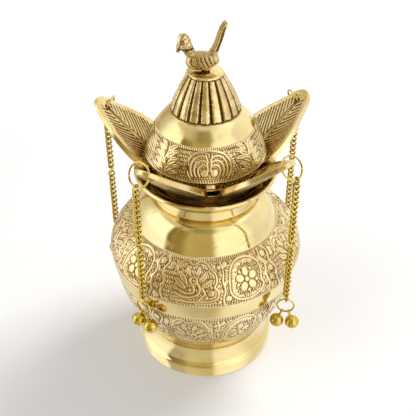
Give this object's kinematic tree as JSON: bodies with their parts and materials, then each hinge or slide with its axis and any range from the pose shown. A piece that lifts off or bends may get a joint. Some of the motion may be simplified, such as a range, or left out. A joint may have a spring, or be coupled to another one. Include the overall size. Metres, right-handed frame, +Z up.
{
  "type": "kalash with coconut",
  "caption": "Brass ritual water pot with a crown of mango leaves, a metal coconut with a bird finial standing on them, and bell chains hanging from the leaves.",
  "frame": {"origin": "on the pot's axis, in the plane that the foot stands on", "axes": "+Z up along the pot's axis; -X is the way the bird faces; -Y is the side seen in the picture"},
  "size_m": [0.1388, 0.1396, 0.2477],
  "materials": {
    "polished_brass": "polished",
    "embossed_brass": "embossed, dark patina in the recesses",
    "cast_brass": "satin cast",
    "gilt_wire": "bright wire",
    "inner_steel": "plain"
  },
  "bodies": {
    "pot": {"foot_ring": "polished_brass", "pot_lower_shell": "embossed_brass", "pot_upper_shell": "embossed_brass", "neck_collar": "polished_brass"},
    "crown": {"crown_ring": "cast_brass", "leaf_1": "cast_brass", "leaf_2": "cast_brass", "leaf_3": "cast_brass", "leaf_4": "cast_brass", "leaf_5": "cast_brass"},
    "coconut": {"coconut_shell": "embossed_brass", "fluted_cap": "cast_brass", "top_disc": "polished_brass", "finial_screw": "inner_steel", "bird_finial": "cast_brass"},
    "ring_1": {"top_ring_1": "gilt_wire"},
    "chain_upper_1": {"chain_1_upper": "gilt_wire"},
    "chain_lower_1": {"chain_1_lower": "gilt_wire"},
    "charm_1": {"charm_ring_1": "gilt_wire"},
    "bell_a_1": {"bell_1_a": "gilt_wire", "pellet_1_a": "inner_steel"},
    "bell_b_1": {"bell_1_b": "gilt_wire", "pellet_1_b": "inner_steel"},
    "ring_2": {"top_ring_2": "gilt_wire"},
    "chain_upper_2": {"chain_2_upper": "gilt_wire"},
    "chain_lower_2": {"chain_2_lower": "gilt_wire"},
    "charm_2": {"charm_ring_2": "gilt_wire"},
    "bell_a_2": {"bell_2_a": "gilt_wire", "pellet_2_a": "inner_steel"},
    "bell_b_2": {"bell_2_b": "gilt_wire", "pellet_2_b": "inner_steel"},
    "ring_3": {"top_ring_3": "gilt_wire"},
    "chain_upper_3": {"chain_3_upper": "gilt_wire"},
    "chain_lower_3": {"chain_3_lower": "gilt_wire"},
    "charm_3": {"charm_ring_3": "gilt_wire"},
    "bell_a_3": {"bell_3_a": "gilt_wire", "pellet_3_a": "inner_steel"},
    "bell_b_3": {"bell_3_b": "gilt_wire", "pellet_3_b": "inner_steel"},
    "ring_4": {"top_ring_4": "gilt_wire"},
    "chain_upper_4": {"chain_4_upper": "gilt_wire"},
    "chain_lower_4": {"chain_4_lower": "gilt_wire"},
    "charm_4": {"charm_ring_4": "gilt_wire"},
    "bell_a_4": {"bell_4_a": "gilt_wire", "pellet_4_a": "inner_steel"},
    "bell_b_4": {"bell_4_b": "gilt_wire", "pellet_4_b": "inner_steel"},
    "ring_5": {"top_ring_5": "gilt_wire"},
    "chain_upper_5": {"chain_5_upper": "gilt_wire"},
    "chain_lower_5": {"chain_5_lower": "gilt_wire"},
    "charm_5": {"charm_ring_5": "gilt_wire"},
    "bell_a_5": {"bell_5_a": "gilt_wire", "pellet_5_a": "inner_steel"},
    "bell_b_5": {"bell_5_b": "gilt_wire", "pellet_5_b": "inner_steel"}
  },
  "joints": [
    {"name": "crown_lift", "type": "slide", "parent": "pot", "child": "crown", "axis": [0, 0, 1], "range_m": [0, 0.013]},
    {"name": "coconut_lift", "type": "slide", "parent": "crown", "child": "coconut", "axis": [0, 0, 1], "range_m": [0, 0.06]},
    {"name": "ring_turn_1", "type": "hinge", "parent": "crown", "child": "ring_1", "pos_m": [0.05782, 0.0333, 0.17838], "axis": [-0.8585, -0.3822, -0.342], "range_deg": [-12, 12]},
    {"name": "chain_swing_1", "type": "hinge", "parent": "ring_1", "child": "chain_upper_1", "pos_m": [0.0601, 0.03431, 0.17152], "axis": [0.4067, -0.9135, 0], "range_deg": [0, 60]},
    {"name": "chain_bend_1", "type": "hinge", "parent": "chain_upper_1", "child": "chain_lower_1", "pos_m": [0.0601, 0.03431, 0.12651], "axis": [0.4067, -0.9135, 0], "range_deg": [0, 60]},
    {"name": "charm_swing_1", "type": "hinge", "parent": "chain_lower_1", "child": "charm_1", "pos_m": [0.0601, 0.03431, 0.08152], "axis": [0.9135, 0.4067, 0], "range_deg": [-30, 30]},
    {"name": "bell_swing_a_1", "type": "hinge", "parent": "charm_1", "child": "bell_a_1", "pos_m": [0.06094, 0.03243, 0.07222], "axis": [0.4067, -0.9135, 0], "range_deg": [-10, 50]},
    {"name": "bell_swing_b_1", "type": "hinge", "parent": "charm_1", "child": "bell_b_1", "pos_m": [0.05926, 0.03619, 0.07222], "axis": [0.4067, -0.9135, 0], "range_deg": [-10, 50]},
    {"name": "ring_turn_2", "type": "hinge", "parent": "crown", "child": "ring_2", "pos_m": [0.00167, 0.0667, 0.17838], "axis": [-0.0737, 0.9368, 0.342], "range_deg": [-12, 12]},
    {"name": "chain_swing_2", "type": "hinge", "parent": "ring_2", "child": "chain_upper_2", "pos_m": [0.00148, 0.06919, 0.17152], "axis": [0.9969, 0.0785, 0], "range_deg": [0, 60]},
    {"name": "chain_bend_2", "type": "hinge", "parent": "chain_upper_2", "child": "chain_lower_2", "pos_m": [0.00148, 0.06919, 0.12651], "axis": [0.9969, 0.0785, 0], "range_deg": [0, 60]},
    {"name": "charm_swing_2", "type": "hinge", "parent": "chain_lower_2", "child": "charm_2", "pos_m": [0.00148, 0.06919, 0.08152], "axis": [-0.0785, 0.9969, 0], "range_deg": [-30, 30]},
    {"name": "bell_swing_a_2", "type": "hinge", "parent": "charm_2", "child": "bell_a_2", "pos_m": [0.00353, 0.06935, 0.07222], "axis": [0.9969, 0.0785, 0], "range_deg": [-10, 50]},
    {"name": "bell_swing_b_2", "type": "hinge", "parent": "charm_2", "child": "bell_b_2", "pos_m": [-0.00058, 0.06903, 0.07222], "axis": [0.9969, 0.0785, 0], "range_deg": [-10, 50]},
    {"name": "ring_turn_3", "type": "hinge", "parent": "crown", "child": "ring_3", "pos_m": [-0.06232, 0.02384, 0.17838], "axis": [-0.9077, 0.2432, 0.342], "range_deg": [-12, 12]},
    {"name": "chain_swing_3", "type": "hinge", "parent": "ring_3", "child": "chain_upper_3", "pos_m": [-0.06473, 0.02449, 0.17152], "axis": [0.2588, 0.9659, 0], "range_deg": [0, 60]},
    {"name": "chain_bend_3", "type": "hinge", "parent": "chain_upper_3", "child": "chain_lower_3", "pos_m": [-0.06473, 0.02449, 0.12651], "axis": [0.2588, 0.9659, 0], "range_deg": [0, 60]},
    {"name": "charm_swing_3", "type": "hinge", "parent": "chain_lower_3", "child": "charm_3", "pos_m": [-0.06473, 0.02449, 0.08152], "axis": [-0.9659, 0.2588, 0], "range_deg": [-30, 30]},
    {"name": "bell_swing_a_3", "type": "hinge", "parent": "charm_3", "child": "bell_a_3", "pos_m": [-0.06419, 0.02648, 0.07222], "axis": [0.2588, 0.9659, 0], "range_deg": [-10, 50]},
    {"name": "bell_swing_b_3", "type": "hinge", "parent": "charm_3", "child": "bell_b_3", "pos_m": [-0.06526, 0.0225, 0.07222], "axis": [0.2588, 0.9659, 0], "range_deg": [-10, 50]},
    {"name": "ring_turn_4", "type": "hinge", "parent": "crown", "child": "ring_4", "pos_m": [-0.03732, -0.05382, 0.17903], "axis": [-0.5547, -0.6973, 0.454], "range_deg": [-12, 12]},
    {"name": "chain_swing_4", "type": "hinge", "parent": "ring_4", "child": "chain_upper_4", "pos_m": [-0.03938, -0.05642, 0.17253], "axis": [-0.7826, 0.6225, 0], "range_deg": [0, 60]},
    {"name": "chain_bend_4", "type": "hinge", "parent": "chain_upper_4", "child": "chain_lower_4", "pos_m": [-0.03938, -0.05642, 0.12703], "axis": [-0.7826, 0.6225, 0], "range_deg": [0, 60]},
    {"name": "charm_swing_4", "type": "hinge", "parent": "chain_lower_4", "child": "charm_4", "pos_m": [-0.03938, -0.05642, 0.08153], "axis": [-0.6225, -0.7826, 0], "range_deg": [-30, 30]},
    {"name": "bell_swing_a_4", "type": "hinge", "parent": "charm_4", "child": "bell_a_4", "pos_m": [-0.041, -0.05514, 0.07223], "axis": [-0.7826, 0.6225, 0], "range_deg": [-10, 50]},
    {"name": "bell_swing_b_4", "type": "hinge", "parent": "charm_4", "child": "bell_b_4", "pos_m": [-0.03777, -0.0577, 0.07223], "axis": [-0.7826, 0.6225, 0], "range_deg": [-10, 50]},
    {"name": "ring_turn_5", "type": "hinge", "parent": "crown", "child": "ring_5", "pos_m": [0.04962, -0.04566, 0.17879], "axis": [-0.5076, 0.5737, -0.6428], "range_deg": [-12, 12]},
    {"name": "chain_swing_5", "type": "hinge", "parent": "ring_5", "child": "chain_upper_5", "pos_m": [0.05273, -0.04918, 0.1732], "axis": [-0.749, -0.6626, 0], "range_deg": [0, 60]},
    {"name": "chain_bend_5", "type": "hinge", "parent": "chain_upper_5", "child": "chain_lower_5", "pos_m": [0.05273, -0.04918, 0.1247], "axis": [-0.989, 0.1478, 0], "range_deg": [0, 60]},
    {"name": "charm_swing_5", "type": "hinge", "parent": "chain_lower_5", "child": "charm_5", "pos_m": [0.05273, -0.04918, 0.0762], "axis": [-0.1478, -0.989, 0], "range_deg": [-8, 30]},
    {"name": "bell_swing_a_5", "type": "hinge", "parent": "charm_5", "child": "bell_a_5", "pos_m": [0.05069, -0.04887, 0.0669], "axis": [-0.989, 0.1478, 0], "range_deg": [-10, 50]},
    {"name": "bell_swing_b_5", "type": "hinge", "parent": "charm_5", "child": "bell_b_5", "pos_m": [0.05476, -0.04948, 0.0669], "axis": [-0.989, 0.1478, 0], "range_deg": [-10, 50]}
  ]
}
